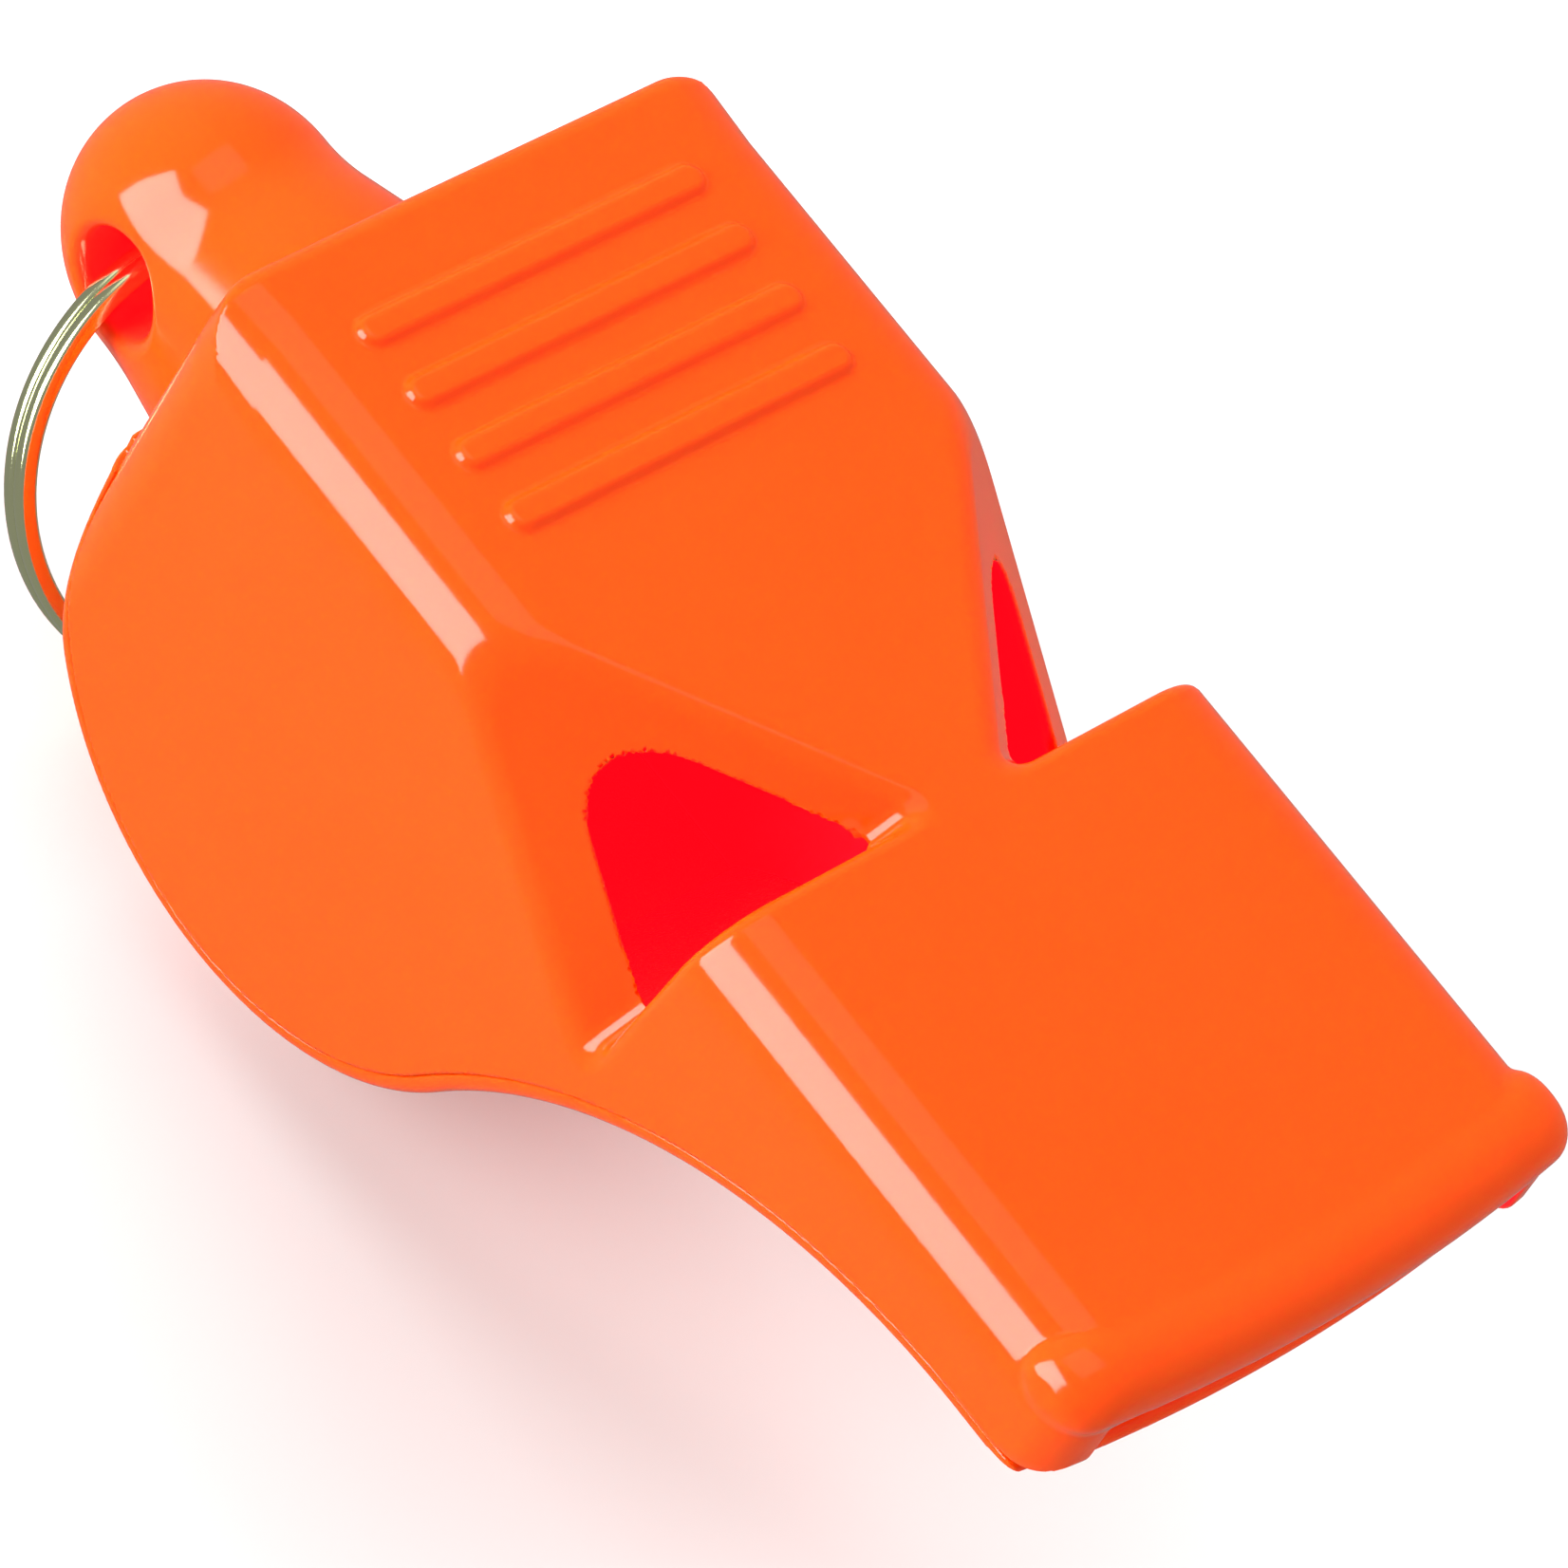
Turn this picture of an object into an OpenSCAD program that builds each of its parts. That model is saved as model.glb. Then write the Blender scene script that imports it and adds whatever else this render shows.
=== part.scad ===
// Pealess training whistle: two glued shells, a chamber insert and a split ring.
// +X points to the mouthpiece, +Y to the whistle's left, +Z up.
// The origin is the middle of the flat top face.

/* [Body] */
// Width across the two flat sides
body_w = 21.5; // [20:0.1:23]
// Length from the back wall to the front of the lip
body_len = 44.9; // [43:0.1:47]
// Rounding of the two long top edges
edge_r = 2.7; // [2:0.1:3]
// Rounding of the two upright rear corners
rear_r = 2.2; // [1.5:0.1:2.5]
// Thickness of the side walls and the back wall
wall = 1.8; // [1.6:0.1:2]
// Thickness of the roof over the chambers
roof = 1.4; // [1.2:0.1:1.6]
// Lean of the back wall, in degrees from upright
back_lean = 3.4; // [2:0.1:4]

/* [Belly and mouthpiece] */
// Radius of the round belly
belly_r = 11.5; // [11.4:0.05:11.6]
// Distance of the belly's axis ahead of the back wall
belly_x = 10.4; // [10.2:0.1:10.6]
// Depth of the belly's axis below the top face
belly_z = 11.5; // [11.3:0.1:11.7]
// Radius of the hollow curve under the mouthpiece
throat_r = 23.3; // [23:0.05:23.6]
// Height of the mouthpiece at its front
mouth_h = 5.75; // [5.65:0.05:5.9]
// Radius of the bead along the front lip
lip_r = 1.6; // [1.5:0.05:1.7]
// Height of the bead above the top face
lip_rise = 0.33; // [0.2:0.01:0.4]
// Radius of the lip's bow, seen from above
lip_bow_r = 69; // [60:1:80]

/* [Side notches] */
// Distance of the notches' front wall from the back wall, at the top face
notch_x = 25.5; // [25.3:0.1:25.6]
// Lean of the notches' front wall, in degrees from upright
notch_lean = 6.5; // [6:0.5:8]
// Length of each notch along the body's edge
notch_run = 13.27; // [13:0.01:13.5]
// Depth of each notch into the top face
notch_in = 9.45; // [9.2:0.05:9.6]
// Depth of each notch down the side
notch_down = 10.5; // [10.2:0.05:10.6]

/* [Airways] */
// Height of the two upper airways
airway_h = 0.9; // [0.8:0.05:1]
// Depth of the upper airways' ceiling below the top face
airway_z = 1.8; // [1.7:0.05:1.9]
// Thickness of the wall between the two upper chambers
rib_t = 1.2; // [1:0.1:1.5]
// Thickness of the belly cover at its visible rim
cover_t = 1.35; // [1.3:0.05:1.4]
// Thickness of the cover's locating tongue
tongue_t = 1.4; // [1.2:0.1:1.5]
// Thickness of the chamber insert's floor
insert_t = 1.2; // [1:0.1:1.3]

/* [Lanyard lug] */
// Distance of the eye's axis behind the back wall
eye_x = 6.94; // [6.7:0.01:7.1]
// Depth of the eye's axis below the top face
eye_z = 12.64; // [12.4:0.01:12.9]
// Radius of the eye
eye_r = 1.86; // [1.86:0.01:1.95]
// Outer radius of the lug around the eye
lug_r = 5.16; // [5.1:0.01:5.3]
// Half the lug's thickness
lug_half = 4.3; // [4.2:0.05:4.3]
// Half the lug's thickness where it meets the back wall
lug_root = 5.2; // [4.8:0.1:5.3]

/* [Split ring] */
// Radius of the ring at the middle of its wire
ring_r = 7.95; // [7.9:0.05:8]
// Width of one turn of wire along the ring's axis
wire_w = 0.64; // [0.5:0.02:0.64]
// Thickness of the wire across the ring
wire_t = 0.7; // [0.6:0.05:0.7]
// Turn of the ring below the level of the eye, in degrees
ring_swing = 54; // [52:1:60]
// Twist of the ring about its hanging direction, in degrees
ring_twist = 12; // [0:1:12]

/* [Hidden] */
$fn = 72;
half_w = body_w / 2;
origin_x = body_len / 2;
// Gap left for glue between two mouldings
glue = 0.03;
// How far a cutting shape runs past what it cuts
past = 30;
inner_half = half_w - wall;
lip_x = body_len - lip_r;
lip_z = lip_rise - lip_r;
// Centre of the hollow curve that runs tangent into the belly
throat_z = mouth_h + throat_r;
throat_x = belly_x + sqrt(pow(belly_r + throat_r, 2) - pow(throat_z - belly_z, 2));
// Top of the belly cover at the back, where its edge stands proud of the wall
cover_top = belly_z - 1.9;
// The side walls end level with the lip's bowed front, with a rounded lower corner
side_end = body_len - 0.95;
mouth_end_r = 1.7;
// Wall between the chambers and the airways' own space
bulkhead_t = 1.5;
bulkhead_x = notch_x + bulkhead_t;
// Space that the insert leaves under it for the lower airway
lower_airway_h = mouth_h - cover_t - airway_z - airway_h - 0.7;
floor_z = belly_z - 0.3;
// Raised thumb ribs on the top face
rib_count = 4;
rib_pitch = 2.5;
rib_first = 3.6;
rib_len = 13;
rib_w = 1.1;
rib_rise = 0.28;
// Window of the lower chamber, in degrees below the belly's axis
low_window_angle = 44;
low_window_len = 4.6;
low_window_w = 8;
// Front end of the cover's locating tongue
tongue_end = belly_x + 5;
// The insert's front edge is set back from the ends of the side walls
insert_back = 0.4;
// Distance of the ring's centre from the eye's axis
ring_drop = ring_r - 0.45;

// Moves a shape drawn from the back wall into the whistle's own frame.
module in_frame() {
    translate([-origin_x, 0, 0]) children();
}

// Extrudes a side-view outline (x, z) to a width, centred on the middle plane.
module across(width) {
    rotate([90, 0, 0])
        translate([0, 0, -width / 2])
            linear_extrude(height = width) children();
}

// Side-view outline of the whistle without its lug. Its lower edge can be drawn inset.
module side_outline(inset) {
    lean = (belly_z - inset) * tan(back_lean);
    difference() {
        union() {
            polygon([
                [0, 0],
                [lip_x, 0],
                [lip_x, -airway_z],
                [body_len, -airway_z],
                [body_len, -mouth_h + inset],
                [throat_x, -throat_z],
                [belly_x, -belly_z],
                [-lean, -belly_z + inset],
            ]);
            translate([belly_x, -belly_z]) circle(belly_r - inset);
        }
        translate([throat_x, -throat_z]) circle(throat_r + inset);
        translate([throat_x, -mouth_h + inset - past]) square([past, past]);
    }
}

// Front-view section with rounded top corners, run along the whistle.
module rounded_bar(half, top, r) {
    rotate([90, 0, 90])
        translate([0, 0, -past])
            linear_extrude(height = 3 * past)
                union() {
                    translate([-half, -2 * past]) square([2 * half, 2 * past - top - r]);
                    translate([-half + r, -2 * past]) square([2 * half - 2 * r, 2 * past - top]);
                    for (side = [-1, 1])
                        translate([side * (half - r), -top - r]) circle(r);
                }
}

// Plan-view outline with rounded rear corners, starting at the given back line.
module plan_column(back) {
    linear_extrude(height = 4 * past, center = true)
        union() {
            translate([back, rear_r - half_w]) square([body_len + 2, body_w - 2 * rear_r]);
            translate([back + rear_r, -half_w]) square([body_len + 2, body_w]);
            for (side = [-1, 1])
                translate([back + rear_r, side * (half_w - rear_r)]) circle(rear_r);
        }
}

// Everything behind the notches' leaning front wall.
module behind_front_wall() {
    translate([notch_x, 0, 0])
        rotate([0, notch_lean, 0])
            translate([-2 * past, -past, -2 * past]) cube([2 * past, 2 * past, 4 * past]);
}

// One slanted notch on the right-hand side, as a wedge to be cut away.
module notch() {
    normal = [1 / notch_run, -1 / notch_in, 1 / notch_down];
    size = norm(normal);
    intersection() {
        translate([notch_x - notch_run, -half_w, 0])
            rotate([0, acos(normal[2] / size), atan2(normal[1], normal[0])])
                translate([-past, -past, 0]) cube([2 * past, 2 * past, past]);
        behind_front_wall();
        translate([0, -past, -past]) cube([past, past, 2 * past]);
    }
}

module both_notches() {
    notch();
    mirror([0, 1, 0]) notch();
}

// Space of the two upper chambers, with the rib between them left standing.
module upper_chambers() {
    difference() {
        intersection() {
            rounded_bar(inner_half, roof, edge_r);
            translate([wall, -half_w, -past]) cube([past, body_w, past]);
            behind_front_wall();
        }
        translate([0, -rib_t / 2, -floor_z + glue]) cube([past, rib_t, past]);
    }
}

// Space inside the mouthpiece, ahead of the bulkhead.
module mouth_space() {
    translate([bulkhead_x, -inner_half, -past - airway_z])
        cube([past, 2 * inner_half, past]);
}

// The two slots that lead the air through the bulkhead and over the windows.
module upper_airways() {
    for (side = [-1, 1])
        translate([notch_x - 1, side * (inner_half + rib_t / 2) / 2 - inner_half / 2 + rib_t / 4,
                   -airway_z - airway_h])
            cube([bulkhead_t + 2, inner_half - rib_t / 2, airway_h]);
}

// Everything below this curved surface belongs to the cover and the insert.
module space_below(inset) {
    across(2 * inner_half)
        difference() {
            translate([wall, -2 * past]) square([past * 2, 2 * past]);
            side_outline(inset);
        }
}

// Side-view shape of the mouthpiece's front end below the lip.
module mouth_end(front) {
    translate([-past, -2 * past]) square([past + front - mouth_end_r, 3 * past]);
    translate([-past, mouth_end_r - mouth_h]) square([past + front, past]);
    translate([front - mouth_end_r, mouth_end_r - mouth_h]) circle(mouth_end_r);
}

module lip_bead() {
    intersection() {
        translate([lip_x - lip_bow_r, 0, lip_z])
            rotate([0, 0, -15])
                rotate_extrude(angle = 30, $fn = 360)
                    translate([lip_bow_r, 0]) circle(lip_r);
        rounded_bar(half_w, -lip_rise, edge_r + lip_rise);
        translate([0, -half_w, -airway_z]) cube([past * 2, body_w, past]);
    }
}

module thumb_ribs() {
    for (i = [0:rib_count - 1])
        translate([rib_first + i * rib_pitch, 0, -0.2]) {
            translate([-rib_w / 2, -rib_len / 2, 0]) cube([rib_w, rib_len, rib_rise + 0.2]);
            for (side = [-1, 1])
                translate([0, side * rib_len / 2, 0]) cylinder(r = rib_w / 2, h = rib_rise + 0.2);
        }
}

// Lug with fully rounded edges, growing a little thicker towards the back wall.
module lug() {
    offset_r = lug_r - lug_half;
    reach = eye_x + wall / 2;
    translate([-eye_x, 0, -eye_z]) {
        rotate([90, 0, 0])
            rotate_extrude()
                intersection() {
                    translate([offset_r, 0]) circle(lug_half);
                    translate([0, -lug_r]) square([2 * lug_r, 2 * lug_r]);
                }
        for (line = [[offset_r, 11], [0, 5], [-offset_r, 0]])
            translate([0, 0, line[0]])
                rotate([0, 90 - line[1], 0]) cylinder(r1 = lug_half, r2 = lug_root, h = reach);
    }
}

// Space that the cover leaves for the lug's root.
module lug_root_space() {
    translate([-eye_x, 0, lug_half - lug_r - eye_z])
        rotate([0, 90, 0]) cylinder(r = lug_root + 0.1, h = eye_x + wall);
    translate([-past, -lug_root - 0.1, lug_half - lug_r - eye_z])
        cube([past + wall, 2 * lug_root + 0.2, past]);
}

// The eye, opened out at both ends so that the ring can lie at an angle.
module eye() {
    mouth = 1.5;
    flare = 0.6;
    translate([-eye_x, 0, -eye_z])
        rotate([90, 0, 0]) {
            cylinder(r = eye_r, h = 4 * lug_half, center = true);
            for (side = [0, 1])
                mirror([0, 0, side])
                    translate([0, 0, lug_half - mouth])
                        cylinder(r1 = eye_r, r2 = eye_r + 2 * flare, h = 2 * mouth);
        }
}

module upper_shell() {
    color("#ff6a1e")
        in_frame()
            difference() {
                union() {
                    difference() {
                        intersection() {
                            across(body_w)
                                intersection() {
                                    side_outline(cover_t + glue);
                                    mouth_end(side_end);
                                }
                            rounded_bar(half_w, 0, edge_r);
                            plan_column(-0.2);
                        }
                        upper_chambers();
                        mouth_space();
                        upper_airways();
                        space_below(cover_t + lower_airway_h + insert_t + glue);
                        both_notches();
                    }
                    lip_bead();
                    thumb_ribs();
                    difference() {
                        lug();
                        translate([wall / 2, -past, -2 * past]) cube([past, 2 * past, 3 * past]);
                    }
                }
                eye();
            }
}

// Side view of the insert. Its lower edge follows the cover at the given inset.
module insert_profile(inset) {
    difference() {
        intersection() {
            union() {
                translate([wall + glue, -2 * past]) square([notch_x, 2 * past - floor_z]);
                translate([throat_x, -throat_z])
                    circle(throat_r + cover_t + lower_airway_h + insert_t);
                translate([bulkhead_x + glue, -past]) square([past, past - airway_z - airway_h]);
            }
            translate([wall + glue, -2 * past])
                square([side_end - wall - insert_back, 2 * past - airway_z - airway_h]);
            side_outline(inset);
        }
        intersection() {
            translate([belly_x, -belly_z]) circle(belly_r);
            translate([-past, -2 * past - floor_z - insert_t]) square(2 * past);
        }
    }
}

// Floor of the two upper chambers and of their airways. It is also the lower chamber's roof,
// and its two side rails close the lower airway.
module chamber_insert() {
    color("#f4601a")
        in_frame()
            difference() {
                across(2 * inner_half - 2 * glue) insert_profile(cover_t + glue);
                across(low_window_w)
                    difference() {
                        translate([belly_x, -2 * past]) square(2 * past);
                        side_outline(cover_t + lower_airway_h);
                        translate([0, -floor_z - insert_t]) square([notch_x, past]);
                    }
            }
}

// Curved cover that closes the belly and floors the mouthpiece.
module belly_cover() {
    rim_gap = 0.08;
    color("#f2641c")
        in_frame()
            difference() {
                union() {
                    intersection() {
                        across(body_w - 2 * rim_gap)
                            difference() {
                                intersection() {
                                    side_outline(0);
                                    mouth_end(side_end - insert_back);
                                }
                                side_outline(cover_t);
                                translate([-past, -cover_top]) square([past + belly_x, past]);
                            }
                        plan_column(belly_x - belly_r);
                    }
                    across(2 * inner_half - 2 * glue)
                        difference() {
                            intersection() {
                                side_outline(cover_t - 0.1);
                                translate([wall + glue, -2 * past])
                                    square([tongue_end - wall, 2 * past - floor_z - insert_t - glue]);
                            }
                            side_outline(cover_t + tongue_t);
                        }
                }
                lug_root_space();
                translate([belly_x, 0, -belly_z])
                    rotate([0, low_window_angle, 0])
                        translate([belly_r - 6, -low_window_w / 2, -low_window_len / 2])
                            cube([12, low_window_w, low_window_len]);
            }
}

// Split ring: two turns of wire lying side by side, hanging in the eye.
module split_ring() {
    color("#c9c3a4")
        in_frame()
            translate([-eye_x, 0, -eye_z])
                rotate([0, ring_swing, 0])
                    translate([ring_drop, 0, 0])
                        rotate([ring_twist, 0, 0])
                            rotate_extrude()
                                translate([ring_r - wire_t / 2, -wire_w])
                                    square([wire_t, 2 * wire_w]);
}

upper_shell();
chamber_insert();
belly_cover();
split_ring();
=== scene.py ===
"""Looks of the training whistle: three glossy orange mouldings and a plated split ring.

The upper shell and the belly cover are drawn as distance fields in millimetres, in the design's own
frame, whose x starts at the back wall and whose z is 0 at the top face. A field is negative inside
the plastic, and each one is skinned with a mesh. The chamber insert keeps its CAD mesh.
"""
import math

import bpy
import numpy as np
from mathutils import Matrix, Vector


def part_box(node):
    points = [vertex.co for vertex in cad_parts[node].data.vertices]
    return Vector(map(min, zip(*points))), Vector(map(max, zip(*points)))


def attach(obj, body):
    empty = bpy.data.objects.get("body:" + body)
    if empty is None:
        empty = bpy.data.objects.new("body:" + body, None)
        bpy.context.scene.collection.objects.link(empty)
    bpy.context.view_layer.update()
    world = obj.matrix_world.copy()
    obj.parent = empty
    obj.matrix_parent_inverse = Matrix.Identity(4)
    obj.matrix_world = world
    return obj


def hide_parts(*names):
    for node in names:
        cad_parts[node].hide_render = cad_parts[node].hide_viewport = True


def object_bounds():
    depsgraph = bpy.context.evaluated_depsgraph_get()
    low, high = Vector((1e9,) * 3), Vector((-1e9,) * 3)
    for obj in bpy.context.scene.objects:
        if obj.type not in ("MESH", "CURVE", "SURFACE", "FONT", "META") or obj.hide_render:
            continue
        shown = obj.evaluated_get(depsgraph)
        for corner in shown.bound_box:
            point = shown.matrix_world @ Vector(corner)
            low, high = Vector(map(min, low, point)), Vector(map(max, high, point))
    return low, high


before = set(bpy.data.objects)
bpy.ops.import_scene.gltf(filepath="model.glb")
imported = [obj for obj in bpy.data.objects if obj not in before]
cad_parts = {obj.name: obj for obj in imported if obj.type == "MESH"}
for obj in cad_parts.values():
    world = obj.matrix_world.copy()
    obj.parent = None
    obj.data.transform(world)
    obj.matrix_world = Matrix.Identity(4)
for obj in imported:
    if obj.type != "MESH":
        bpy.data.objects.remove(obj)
cad_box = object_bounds()

MM = 0.001
SHELL_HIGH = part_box("upper_shell")[1]

# Body. All sizes down to the thumb ribs are in millimetres.
HALF_WIDTH = SHELL_HIGH.y / MM
ORIGIN_X = SHELL_HIGH.x / MM
ORIGIN = np.array([ORIGIN_X, 0, 0])
LENGTH = 2 * ORIGIN_X
TOP_EDGE_R = 2.7
REAR_EDGE_R = 2.2
BACK_EDGE_R = 0.7
FRONT_EDGE_R = 1.3
INNER_EDGE_R = 0.2
WALL = 1.8
ROOF = 1.4
BACK_LEAN = math.radians(3.4)
BACK_TOP_X = -0.1
INNER_HALF = HALF_WIDTH - WALL

# Belly, throat and mouthpiece
BELLY_R = 11.5
BELLY_X = 10.4
BELLY_Z = -11.5
THROAT_R = 23.3
MOUTH_Z = -5.75
THROAT_Z = MOUTH_Z - THROAT_R
THROAT_X = BELLY_X + math.sqrt((BELLY_R + THROAT_R) ** 2 - (BELLY_Z - THROAT_Z) ** 2)
COVER_T = 1.35
COVER_TOP = BELLY_Z + 1.9
COVER_EDGE_R = 0.6
COVER_INSET = 0.08
RIM_T = 0.75
SEAM = 0.03
SEAM_EDGE_R = 0.1
TONGUE_T = 1.4
TONGUE_LENGTH = 5
INSERT_T = 1.2
FLOOR_Z = BELLY_Z + 0.3
INSERT_TOP = 3.58

# Lip
LIP_R = 1.6
LIP_RISE = 0.33
LIP_BOW_R = 69
LIP_X = LENGTH - LIP_R
LIP_Z = LIP_RISE - LIP_R
LIP_BOTTOM = -2.55
BEAD_PROUD = 0.06
BEAD_ROOM = 0.15
BEAD_FILLET = 0.12
SIDE_END = LENGTH - 0.15
SIDE_END_R = 1.7

# Notches, windows and airways
NOTCH_X = 25.5
NOTCH_LEAN = math.radians(6.5)
NOTCH_RUN = 13.27
NOTCH_IN = 9.45
NOTCH_DOWN = 10.5
NOTCH_FILLET = 0.9
NOTCH_EDGE_R = 0.45
CHAMBER_R = 2.95
CLOSING = 0.6
CLOSING_X = 22.4
CLOSING_RUN = 2.4
STEP_DEPTH = 0.35
STEP_X = 23.4
STEP_INSET = 0.12
BULKHEAD_X = NOTCH_X + 1.5
AIRWAY_Z = -1.8
AIRWAY_H = 0.9
AIRWAY_HALF_LENGTH = 2.5
RIB_HALF = 0.6
LOW_WINDOW_ANGLE = math.radians(44)
LOW_WINDOW_HALF = (4.0, 2.3)
LOW_WINDOW_START = 6

# Lug, eye and ring
EYE_X = -6.94
EYE_Z = -12.64
EYE_R = 1.86
EYE_EDGE_R = 0.6
LUG_R = 5.16
LUG_HALF = 4.3
LUG_TOP_RISE = math.tan(math.radians(12.5))
LUG_FLARE = math.tan(math.radians(8.6))
LUG_FILLET = 0.5
RING_R = 7.95
RING_DROP = RING_R - 0.45
RING_SWING = math.radians(54)
RING_TWIST = math.radians(12)
WIRE_W = 0.64
WIRE_T = 0.7

# Thumb ribs
THUMB_RIBS = 4
THUMB_FIRST = 3.6
THUMB_PITCH = 2.5
THUMB_LEN = 13
THUMB_HALF = 0.55
THUMB_RISE = 0.28
THUMB_FILLET = 0.2

# Skins: the grid's step and corners in millimetres, and the most triangles
SKIN_STEP = 0.16
SHELL_GRID = ((-13, -11.6, -22.9), (45.6, 11.6, 1.0))
COVER_GRID = ((-1.6, -11.6, -23.4), (45.6, 11.6, -3.0))
MOST_TRIANGLES = 190000

# Painted glow: emission that stands in for light reaching the chambers through their translucent
# walls. The eye gets a share of it.
PAINTED_GLOW = 0.3
PAINTED_GLOW_COLOUR = (1, 0.006, 0.03, 1)
EYE_SHARE = 0.6

# The floor's gap under the hanging ring, in metres
FLOOR_GAP = 0.0004


# ---------------------------------------------------------------- distance fields

def both(a, b, r):
    """What is inside a and b, with the outer edge between them rounded to r."""
    corner = np.hypot(np.maximum(a + r, 0), np.maximum(b + r, 0))
    return np.minimum(np.maximum(a, b) + r, 0) + corner - r


def either(a, b, r):
    """What is inside a or b, with the inner corner between them filled to r."""
    return -both(-a, -b, r)


def without(a, b, r):
    """What is inside a and outside b, with the edge between them rounded to r."""
    return both(a, -b, r)


def lower_edge(x, z, inset):
    """Side view: positive under the belly and the hollow throat, moved inwards by the inset."""
    disc = np.hypot(x - BELLY_X, z - BELLY_Z) - (BELLY_R - inset)
    throat = THROAT_R + inset - np.hypot(x - THROAT_X, z - THROAT_Z)
    mouth = MOUTH_Z + inset - z
    ahead = (x - BELLY_X) * (BELLY_Z - THROAT_Z) + (z - BELLY_Z) * (THROAT_X - BELLY_X) > 0
    upper = np.where(ahead, np.where(x < THROAT_X, throat, mouth), BELLY_Z + inset - z)
    return np.minimum(disc, upper)


def lip_bow(x, y):
    """How far ahead of the bead's bowed middle line a point lies, seen from above."""
    return np.hypot(x - (LIP_X - LIP_BOW_R), y) - LIP_BOW_R


def front_end(x, y, z):
    """Positive ahead of the mouthpiece's side walls, whose lower corners are rounded."""
    ahead = lip_bow(x, y) - (SIDE_END - LIP_X) + SIDE_END_R
    under = np.maximum(MOUTH_Z + SIDE_END_R - z, 0)
    return np.where(ahead > 0, np.hypot(ahead, under), ahead) - SIDE_END_R


def bead(x, y, z):
    """The bead along the front lip. Its rounded ends stand clear of the rounded top edges."""
    tube = np.hypot(lip_bow(x, y), z - LIP_Z) - LIP_R
    sleeve = both(np.abs(y) - HALF_WIDTH - BEAD_PROUD, z - LIP_RISE - BEAD_ROOM, 2.2)
    return both(both(tube, sleeve, 1.2), LIP_BOTTOM - z, 0.5)


def thumb_ribs(x, y, z):
    """Four low raised ribs across the top face."""
    nearest = np.clip(np.round((x - THUMB_FIRST) / THUMB_PITCH), 0, THUMB_RIBS - 1)
    along = x - THUMB_FIRST - nearest * THUMB_PITCH
    bar = np.hypot(along, np.maximum(np.abs(y) - THUMB_LEN / 2, 0)) - THUMB_HALF
    return both(bar, z - THUMB_RISE, 0.25)


def lug(x, y, z):
    """Fully rounded lug, a little thicker and taller towards the back wall."""
    u = x - EYE_X
    v = z - EYE_Z
    blend = 2
    ahead = np.where(u < blend, np.maximum(u, 0) ** 2 / (2 * blend), u - blend / 2)
    core = LUG_R - LUG_HALF
    round_end = np.hypot(np.minimum(u, 0), v) - core
    neck = np.maximum(v - core - LUG_TOP_RISE * ahead, -v - core)
    flat = np.where(u < 0, round_end, neck)
    swell = LUG_HALF + LUG_FLARE * ahead
    return np.hypot(np.maximum(flat, 0), y) - swell


def facet(x, y, z):
    """Height above the notches' slanted faces."""
    normal = np.array([1 / NOTCH_RUN, 1 / NOTCH_IN, 1 / NOTCH_DOWN])
    normal /= np.linalg.norm(normal)
    along = (x - NOTCH_X + NOTCH_RUN) * normal[0]
    return along + (np.abs(y) - HALF_WIDTH) * normal[1] + z * normal[2]


def front_wall(x, z):
    """Distance ahead of the notches' leaning front wall."""
    return (x - NOTCH_X) * math.cos(NOTCH_LEAN) - z * math.sin(NOTCH_LEAN)


def notch(x, y, z):
    """Both slanted notches. Their inner corner, against the mouthpiece, has a small fillet."""
    return both(-facet(x, y, z), front_wall(x, z), NOTCH_FILLET)


def chambers(x, y, z, closing):
    """The two upper chambers, closing in towards the mouthpiece by this much."""
    closer = closing * np.clip((x - CLOSING_X) / CLOSING_RUN, 0, 1) ** 1.5
    tunnel = both(np.abs(y) - INNER_HALF + closer, z + ROOF + closer, CHAMBER_R)
    ends = np.maximum(WALL - x, front_wall(x, z) + 0.02)
    return both(both(tunnel, ends, 0.4), RIB_HALF - np.abs(y), 0.3)


def window_step(x, y, z):
    """The shallow step at the two lower corners of each window, where the chambers close in. Behind
    STEP_X it shrinks into the chambers, so that no step shows at the window's rounded end."""
    inset = STEP_INSET * np.clip(STEP_X - x, 0, 1)
    return both(chambers(x, y, z, 0) + inset, -facet(x, y, z) - STEP_DEPTH, 0.1)


def mouth_space(x, y, z):
    """The flat space inside the mouthpiece."""
    return both(both(np.abs(y) - INNER_HALF, z - AIRWAY_Z, 0.3), BULKHEAD_X - x, 0.3)


def airways(x, y, z):
    """Two slots that lead the air over the windows."""
    middle = (INNER_HALF + RIB_HALF) / 2
    across = np.abs(np.abs(y) - middle) - (INNER_HALF - RIB_HALF) / 2
    tall = np.abs(z - AIRWAY_Z + AIRWAY_H / 2) - AIRWAY_H / 2
    return both(both(across, tall, 0.2), np.abs(x - BULKHEAD_X) - AIRWAY_HALF_LENGTH, 0.2)


def inner_space(x, y, z):
    """Everything that the upper shell leaves open inside, with the insert's and cover's room."""
    below = np.maximum(np.maximum(WALL - x, np.abs(y) - INNER_HALF), -lower_edge(x, z, INSERT_TOP))
    hollow = np.minimum(np.minimum(chambers(x, y, z, CLOSING), mouth_space(x, y, z)), below)
    return np.minimum(hollow, airways(x, y, z))


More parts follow.
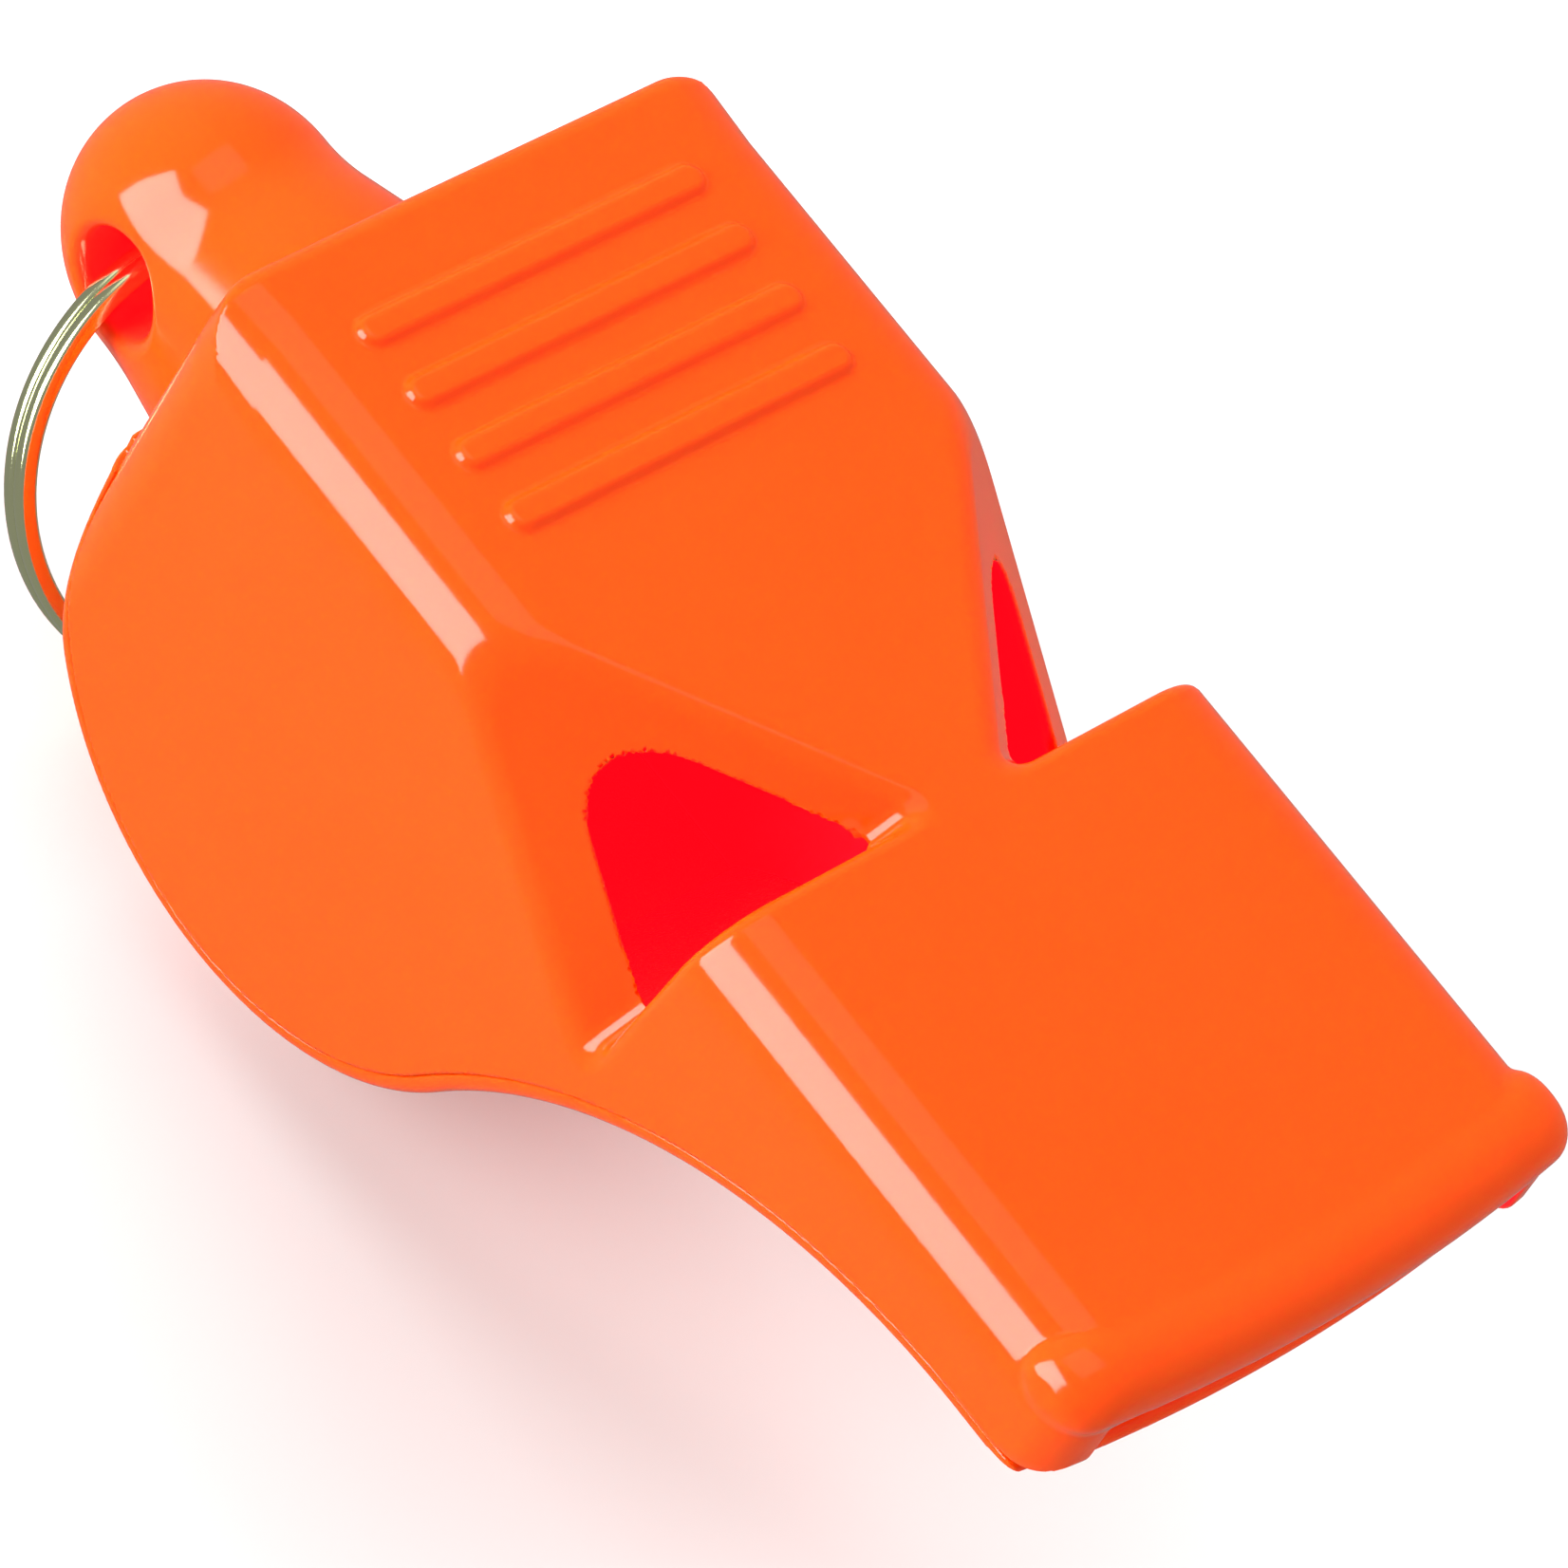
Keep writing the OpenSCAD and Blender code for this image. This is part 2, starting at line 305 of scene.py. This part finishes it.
def shell_field(x, y, z):
    """Upper shell: top, sides, back wall, lug, lip and ribs."""
    flank = np.abs(y) - HALF_WIDTH
    back = (BACK_TOP_X + z * math.tan(BACK_LEAN) - x) * math.cos(BACK_LEAN)
    rear = np.clip((back - z) / 4 + 0.5, 0, 1)
    flank_edge = TOP_EDGE_R + (REAR_EDGE_R - TOP_EDGE_R) * rear
    body = both(both(z, back, BACK_EDGE_R), flank, flank_edge)
    body = both(body, lower_edge(x, z, RIM_T + SEAM), SEAM_EDGE_R)
    body = both(body, front_end(x, y, z), FRONT_EDGE_R)
    lug_end = x - (WALL / 2 - 0.1)
    body = either(body, np.maximum(lug(x, y, z), lug_end), LUG_FILLET)
    body = either(body, bead(x, y, z), BEAD_FILLET)
    body = either(body, thumb_ribs(x, y, z), THUMB_FILLET)
    body = without(body, notch(x, y, z), NOTCH_EDGE_R)
    body = without(body, window_step(x, y, z), 0.1)
    body = without(body, inner_space(x, y, z), INNER_EDGE_R)
    return without(body, np.hypot(x - EYE_X, z - EYE_Z) - EYE_R, EYE_EDGE_R)


def cover_field(x, y, z):
    """Belly cover: the belly's outer skin, the throat and the mouthpiece's floor. It is a low rim
    where it shows, and thicker between the shell's sides, with a tongue that locates it there."""
    flank = np.abs(y) - HALF_WIDTH + COVER_INSET
    back = BELLY_X - BELLY_R - x
    outer = both(lower_edge(x, z, 0), both(back, flank, REAR_EDGE_R + 0.2), COVER_EDGE_R)
    over_back = np.where(x < BELLY_X, z - COVER_TOP, -1.0)
    between_sides = np.abs(y) - INNER_HALF + SEAM
    thick = np.maximum(-lower_edge(x, z, COVER_T), between_sides)
    above = np.minimum(-lower_edge(x, z, RIM_T), thick)
    band = both(both(outer, above, SEAM_EDGE_R), over_back, 0.28)
    band = both(band, front_end(x + 0.3, y, z), 0.5)
    tongue = both(lower_edge(x, z, COVER_T - 0.1), between_sides, SEAM_EDGE_R)
    tongue = np.maximum(tongue, -lower_edge(x, z, COVER_T + TONGUE_T))
    tongue = np.maximum(tongue, np.maximum(z - FLOOR_Z + INSERT_T + SEAM, WALL + SEAM - x))
    tongue = np.maximum(tongue, x - BELLY_X - TONGUE_LENGTH)
    whole = np.minimum(band, tongue)
    u = (x - BELLY_X) * math.cos(LOW_WINDOW_ANGLE) - (z - BELLY_Z) * math.sin(LOW_WINDOW_ANGLE)
    v = (x - BELLY_X) * math.sin(LOW_WINDOW_ANGLE) + (z - BELLY_Z) * math.cos(LOW_WINDOW_ANGLE)
    window = both(np.abs(y) - LOW_WINDOW_HALF[0], np.abs(v) - LOW_WINDOW_HALF[1], 0.4)
    window = np.maximum(window, LOW_WINDOW_START - u)
    lug_room = np.maximum(lug(x, y, z) - 0.1, x - WALL)
    whole = without(whole, lug_room, SEAM_EDGE_R)
    return without(whole, window, 0.15)


# ---------------------------------------------------------------- skinning

def part_place(points):
    """Moves points from the design's frame, in millimetres, to the part's frame, in metres."""
    return (points - ORIGIN) * MM


def slope(field, points):
    """The field's gradient at each point."""
    h = 0.004
    out = np.empty_like(points)
    for axis in range(3):
        shift = np.zeros(3)
        shift[axis] = h
        out[:, axis] = field(*(points + shift).T) - field(*(points - shift).T)
    return out / (2 * h)


def settle(field, points, reach):
    """Moves points onto the field's surface. Returns the points and the surface's normals."""
    for _ in range(4):
        g = slope(field, points)
        size = np.maximum(np.linalg.norm(g, axis=1), 0.3)
        step = np.clip(field(*points.T) / size, -reach, reach)
        points = points - (step / size)[:, None] * g
    g = slope(field, points)
    return points, g / np.maximum(np.linalg.norm(g, axis=1), 1e-6)[:, None]


def first_skin(field, low, high, step):
    """A mesh of quads with one vertex in each grid cell that the surface crosses."""
    low = np.array(low, float)
    axes = [np.arange(a, b + step, step) for a, b in zip(low, high)]
    grid = field(axes[0][:, None, None], axes[1][None, :, None], axes[2][None, None, :])
    inside = grid < 0
    shape = np.array(inside.shape) - 1
    corners = [(i, j, k) for i in (0, 1) for j in (0, 1) for k in (0, 1)]
    count = np.zeros(shape, np.int8)
    for i, j, k in corners:
        count += inside[i:i + shape[0], j:j + shape[1], k:k + shape[2]]
    cells = np.argwhere((count > 0) & (count < 8))
    number = np.full(shape, -1, np.int64)
    number[tuple(cells.T)] = np.arange(len(cells))
    total = np.zeros((len(cells), 3))
    crossings = np.zeros(len(cells))
    for corner in corners:
        for axis in range(3):
            if corner[axis]:
                continue
            end = np.array(corner)
            end[axis] = 1
            a = grid[tuple((cells + corner).T)]
            b = grid[tuple((cells + end).T)]
            crosses = (a < 0) != (b < 0)
            share = np.where(crosses, a / np.where(crosses, a - b, 1), 0)
            place = np.array(corner) + share[:, None] * (end - np.array(corner))
            total += np.where(crosses[:, None], place, 0)
            crossings += crosses
    points = low + (cells + total / crossings[:, None]) * step
    quads = []
    for axis in range(3):
        u, v = [np.eye(3, dtype=int)[(axis + n) % 3] for n in (1, 2)]
        start = [slice(1, -1)] * 3
        end = [slice(1, -1)] * 3
        start[axis] = slice(0, -1)
        end[axis] = slice(1, None)
        a = inside[tuple(start)]
        changed = np.argwhere(a != inside[tuple(end)])
        outward = a[tuple(changed.T)]
        changed[:, [n for n in range(3) if n != axis]] += 1
        ring = [number[tuple((changed - s).T)] for s in (0 * u, u, u + v, v)]
        loop = np.stack(ring, axis=1)
        quads.append(np.where(outward[:, None], loop, loop[:, ::-1]))
    return points, np.concatenate(quads)


def mesh_piece(name, points, faces):
    """A smooth mesh object from points in the design's frame, in millimetres."""
    mesh = bpy.data.meshes.new(name)
    mesh.from_pydata(part_place(points).tolist(), [], faces)
    mesh.validate()
    mesh.shade_smooth()
    piece = bpy.data.objects.new(name, mesh)
    bpy.context.scene.collection.objects.link(piece)
    return piece


def thin_out(piece, most):
    """Leaves at most this many triangles, mostly by merging those on flat stretches."""
    triangles = sum(len(p.vertices) - 2 for p in piece.data.polygons)
    if triangles <= most:
        return
    modifier = piece.modifiers.new("thin", "DECIMATE")
    modifier.ratio = most / triangles
    bpy.context.view_layer.update()
    depsgraph = bpy.context.evaluated_depsgraph_get()
    reduced = bpy.data.meshes.new_from_object(piece.evaluated_get(depsgraph))
    piece.modifiers.clear()
    piece.data = reduced


def skin(name, field, grid, glow_share=None):
    """Skins a field. If a mask is given, each vertex keeps its value as an attribute, which places
    the painted deeper red and painted glow on the walls inside the chambers.
    """
    points, quads = first_skin(field, *grid, SKIN_STEP)
    points, _ = settle(field, points, SKIN_STEP / 2)
    piece = mesh_piece(name, points, quads.tolist())
    thin_out(piece, MOST_TRIANGLES)
    mesh = piece.data
    flat = np.empty(len(mesh.vertices) * 3)
    mesh.vertices.foreach_get("co", flat)
    points = flat.reshape(-1, 3) / MM + ORIGIN
    points, normals = settle(field, points, SKIN_STEP / 4)
    mesh.vertices.foreach_set("co", part_place(points).ravel())
    if glow_share is not None:
        layer = mesh.attributes.new("glow_share", "FLOAT", "POINT")
        layer.data.foreach_set("value", glow_share(*points.T).astype(np.float32))
    mesh.shade_smooth()
    mesh.normals_split_custom_set_from_vertices(normals.tolist())
    return piece


def painted_glow_mask(x, y, z):
    """Where the painted deeper red and painted glow go: 1 on the walls of the chambers, a little
    less in the eye, and 0 outside.
    """
    inside = np.clip(1 - inner_space(x, y, z) / 0.15, 0, 1)
    eye = np.clip(1 - (np.hypot(x - EYE_X, z - EYE_Z) - EYE_R) / 0.3, 0, 1)
    return np.maximum(inside, EYE_SHARE * eye)


# ---------------------------------------------------------------- split ring

def ring_wire(name):
    """One spring wire wound twice, with a jog where it passes from one turn to the other. Its
    section is a soft rectangle, a little narrower at both ends."""
    segments = 320
    sides = 20
    jog = math.radians(34)
    start = math.radians(62)
    span = 4 * math.pi - jog
    end_length = 0.12
    end_size = 0.75
    side_power = 0.62
    face_power = 0.72
    points = []
    for i in range(segments + 1):
        turn = span * i / segments
        shift = np.clip((turn - (2 * math.pi - jog)) / jog, 0, 1)
        ease = shift * shift * (3 - 2 * shift)
        axial = WIRE_W * (ease - 0.5) * 1.02
        end_gap = min(i, segments - i) / segments * span * RING_R
        close = math.sqrt(1 - (1 - min(end_gap / end_length, 1)) ** 2) * (1 - end_size) + end_size
        angle = start + turn
        for k in range(sides):
            a = 2 * math.pi * k / sides
            c, s = math.cos(a), math.sin(a)
            across = math.copysign(abs(c) ** side_power, c) * WIRE_W / 2 * close
            outward = math.copysign(abs(s) ** face_power, s) * WIRE_T / 2 * close
            radius = RING_R + outward
            points.append((radius * math.cos(angle), radius * math.sin(angle), axial + across))
    faces = []
    for i in range(segments):
        for k in range(sides):
            a = i * sides + k
            b = i * sides + (k + 1) % sides
            faces.append((a, a + sides, b + sides, b))
    faces.append(tuple(range(sides)))
    faces.append(tuple(segments * sides + k for k in reversed(range(sides))))
    place = (
        Matrix.Translation((EYE_X, 0, EYE_Z))
        @ Matrix.Rotation(RING_SWING, 4, "Y")
        @ Matrix.Translation((RING_DROP, 0, 0))
        @ Matrix.Rotation(RING_TWIST, 4, "X")
    )
    return mesh_piece(name, np.array([place @ Vector(p) for p in points]), faces)


# ---------------------------------------------------------------- materials

def new_material(name):
    """A material, with its nodes, links and main shader."""
    material = bpy.data.materials.new(name)
    material.use_nodes = True
    nodes = material.node_tree.nodes
    shader = next(n for n in nodes if n.type == "BSDF_PRINCIPLED")
    return material, nodes, material.node_tree.links, shader


def noise(nodes, links, scale, detail):
    """Noise in the object's own coordinates. The scale is in features per metre."""
    place = nodes.new("ShaderNodeTexCoord")
    texture = nodes.new("ShaderNodeTexNoise")
    texture.inputs["Scale"].default_value = scale
    texture.inputs["Detail"].default_value = detail
    links.new(place.outputs["Object"], texture.inputs["Vector"])
    return texture


def spread(nodes, links, source, low, high):
    """Maps noise to a range of values."""
    ramp = nodes.new("ShaderNodeMapRange")
    ramp.inputs["From Min"].default_value = 0.3
    ramp.inputs["From Max"].default_value = 0.7
    ramp.inputs["To Min"].default_value = low
    ramp.inputs["To Max"].default_value = high
    links.new(source, ramp.inputs["Value"])
    return ramp.outputs["Result"]


def mix_colour(nodes, links, share, first, second):
    """Mixes two colours, each one either a plain colour or another node's output."""
    mix = nodes.new("ShaderNodeMix")
    mix.data_type = "RGBA"
    links.new(share, mix.inputs["Factor"])
    sockets = [s for s in mix.inputs if s.type == "RGBA"]
    for socket, value in zip(sockets, (first, second)):
        if isinstance(value, tuple):
            socket.default_value = (*value, 1)
        else:
            links.new(value, socket)
    return next(s for s in mix.outputs if s.type == "RGBA")


def bump(nodes, links, shader, height, distance, strength):
    """Fine relief in the shading only. The distance is in metres."""
    node = nodes.new("ShaderNodeBump")
    node.inputs["Strength"].default_value = strength
    node.inputs["Distance"].default_value = distance
    links.new(height, node.inputs["Height"])
    links.new(node.outputs["Normal"], shader.inputs["Normal"])


def orange_plastic(name, light, dark, inside, grain, rough, glow=0):
    """Glossy moulded plastic: faint flow marks in its colour and a fine orange-peel surface. Where
    inside is given, the walls inside the chambers get a painted deeper red and a painted glow, which
    stand in for light that arrives through the plastic; glow gives the whole part a painted glow.
    The grain is the relief's scale, distance and strength, and rough is the lowest and highest
    roughness."""
    material, nodes, links, shader = new_material(name)
    flow = noise(nodes, links, 90, 3)
    colour = mix_colour(nodes, links, spread(nodes, links, flow.outputs["Fac"], 0, 1), light, dark)
    if inside is not None:
        # Painted deeper red and painted glow on the chamber walls, placed by the mesh's mask attribute.
        glow_share = nodes.new("ShaderNodeAttribute")
        glow_share.attribute_name = "glow_share"
        colour = mix_colour(nodes, links, glow_share.outputs["Fac"], colour, inside)
        links.new(spread(nodes, links, glow_share.outputs["Fac"], 0, PAINTED_GLOW), shader.inputs["Emission Strength"])
        shader.inputs["Emission Color"].default_value = PAINTED_GLOW_COLOUR
    # Painted glow over the whole part, though it is no lamp.
    if glow:
        shader.inputs["Emission Color"].default_value = PAINTED_GLOW_COLOUR
        shader.inputs["Emission Strength"].default_value = glow
    links.new(colour, shader.inputs["Base Color"])
    wear = noise(nodes, links, 700, 4)
    links.new(spread(nodes, links, wear.outputs["Fac"], *rough), shader.inputs["Roughness"])
    scale, distance, strength = grain
    peel = noise(nodes, links, scale, 2)
    bump(nodes, links, shader, peel.outputs["Fac"], distance, strength)
    shader.inputs["IOR"].default_value = 1.5
    shader.inputs["Specular IOR Level"].default_value = 0.42
    shader.inputs["Subsurface Weight"].default_value = 0.7
    shader.inputs["Subsurface Radius"].default_value = (1.0, 0.2, 0.08)
    shader.inputs["Subsurface Scale"].default_value = 0.0015
    return material


def plated_steel(name):
    """Bright nickel plate with fine drawing lines and slightly duller patches."""
    material, nodes, links, shader = new_material(name)
    patches = noise(nodes, links, 260, 4)
    share = spread(nodes, links, patches.outputs["Fac"], 0, 1)
    colour = mix_colour(nodes, links, share, (0.92, 0.96, 0.55), (0.84, 0.88, 0.52))
    links.new(colour, shader.inputs["Base Color"])
    links.new(spread(nodes, links, patches.outputs["Fac"], 0.08, 0.17), shader.inputs["Roughness"])
    grain = noise(nodes, links, 5200, 2)
    bump(nodes, links, shader, grain.outputs["Fac"], 0.00001, 0.25)
    shader.inputs["Metallic"].default_value = 1.0
    return material


def pale_floor(name):
    """Matt white paint with very faint clouds."""
    material, nodes, links, shader = new_material(name)
    cloud = noise(nodes, links, 6, 2)
    share = spread(nodes, links, cloud.outputs["Fac"], 0, 1)
    colour = mix_colour(nodes, links, share, (0.80, 0.80, 0.80), (0.78, 0.78, 0.78))
    links.new(colour, shader.inputs["Base Color"])
    shader.inputs["Roughness"].default_value = 0.75
    return material


def dress(piece, material):
    """Gives a piece this material and no other."""
    piece.data.materials.clear()
    piece.data.materials.append(material)


# ---------------------------------------------------------------- light, floor and camera

def placed(place, right, up, back):
    """The matrix of a light or camera at this place, with these directions."""
    return Matrix.Translation(place) @ Matrix((right, up, back)).transposed().to_4x4()


def softbox(name, direction, distance, width, height, power, mirrored, up=Vector((0, 0, 1))):
    """A rectangular area light that faces the whistle. The direction points from the whistle to it.
    Glossy surfaces mirror it only if mirrored is true."""
    target = Vector((0, 0, -0.008))
    back = Vector(direction).normalized()
    side = up.cross(back).normalized()
    rise = back.cross(side)
    data = bpy.data.lights.new(name, "AREA")
    data.shape = "RECTANGLE"
    data.size = width
    data.size_y = height
    data.energy = power
    light = bpy.data.objects.new(name, data)
    light.matrix_world = placed(target + back * distance, side, rise, back)
    light.visible_glossy = mirrored
    bpy.context.scene.collection.objects.link(light)


def studio():
    """A white world and four softboxes. Of those, gloss mirrors only the side and top ones."""
    scene = bpy.context.scene
    scene.view_settings.view_transform = "Standard"
    world = bpy.data.worlds.new("studio")
    scene.world = world
    world.use_nodes = True
    background = next(n for n in world.node_tree.nodes if n.type == "BACKGROUND")
    background.inputs["Color"].default_value = (1, 1, 1, 1)
    background.inputs["Strength"].default_value = 0.25
    softbox("side_softbox", (-0.45, -0.85, 0.28), 0.5, 0.40, 0.44, 5.2, True)
    softbox("top_softbox", (-0.26, -0.10, 0.96), 0.6, 0.42, 0.42, 0.35, True, up=Vector((0, 1, 0)))
    softbox("back_softbox", (-0.85, 0.05, 0.55), 0.7, 0.6, 0.6, 5.5, False)
    softbox("far_softbox", (0.30, 0.57, 0.77), 0.7, 0.35, 0.35, 3.2, False)


def floor():
    """A plain pale floor just under the hanging ring."""
    drop = cad_box[0][2] - FLOOR_GAP
    mesh = bpy.data.meshes.new("studio_floor")
    half = 1.2
    corners = [(-half, -half, drop), (half, -half, drop), (half, half, drop), (-half, half, drop)]
    mesh.from_pydata(corners, [], [(0, 1, 2, 3)])
    piece = bpy.data.objects.new("studio_floor", mesh)
    bpy.context.scene.collection.objects.link(piece)
    dress(piece, pale_floor("floor_paint"))
    piece.visible_glossy = False


def camera():
    """A long lens above the whistle's right side, turned so that the mouthpiece points down right."""
    place = Vector((0.0804, -0.1794, 0.2378))
    right = Vector((0.6048, 0.7259, 0.3276))
    up = Vector((-0.7517, 0.3846, 0.5357))
    back = right.cross(up).normalized()
    up = back.cross(right).normalized()
    data = bpy.data.cameras.new("camera")
    data.sensor_width = 36
    data.lens = 234.7
    data.clip_start = 0.01
    view = bpy.data.objects.new("camera", data)
    view.matrix_world = placed(place, right.normalized(), up, back)
    bpy.context.scene.collection.objects.link(view)
    bpy.context.scene.camera = view


# ---------------------------------------------------------------- the whistle

def build():
    """Every visible piece of the whistle, with its material and the body it rides on."""
    orange = (0.80, 0.078, 0.0028)
    deep_orange = (0.80, 0.074, 0.0022)
    # red is the insert's darker flow tone, and on the shell it is the painted deeper red of the chamber
    # walls.
    red = (0.95, 0.006, 0.014)
    orange_red = (0.95, 0.030, 0.012)
    fine_grain = (2600, 0.000006, 0.12)
    coarse_grain = (5200, 0.00006, 0.9)
    gloss = (0.09, 0.13)
    matt = (0.28, 0.4)
    shell_look = orange_plastic("shell_plastic", orange, deep_orange, red, fine_grain, gloss)
    cover_look = orange_plastic("cover_plastic", orange, deep_orange, None, fine_grain, gloss)
    # The insert glows all over with a painted glow.
    insert_look = orange_plastic("insert_plastic", orange_red, red, None, coarse_grain, matt, PAINTED_GLOW)

    shell = skin("shell_moulding", shell_field, SHELL_GRID, painted_glow_mask)
    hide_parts("upper_shell")
    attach(shell, "whistle")
    dress(shell, shell_look)

    cover = skin("cover_moulding", cover_field, COVER_GRID)
    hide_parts("belly_cover")
    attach(cover, "whistle")
    dress(cover, cover_look)

    wire = ring_wire("ring_wire")
    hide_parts("split_ring")
    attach(wire, "ring")
    dress(wire, plated_steel("nickel_plate"))

    dress(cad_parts["chamber_insert"], insert_look)


camera()
studio()
floor()
build()
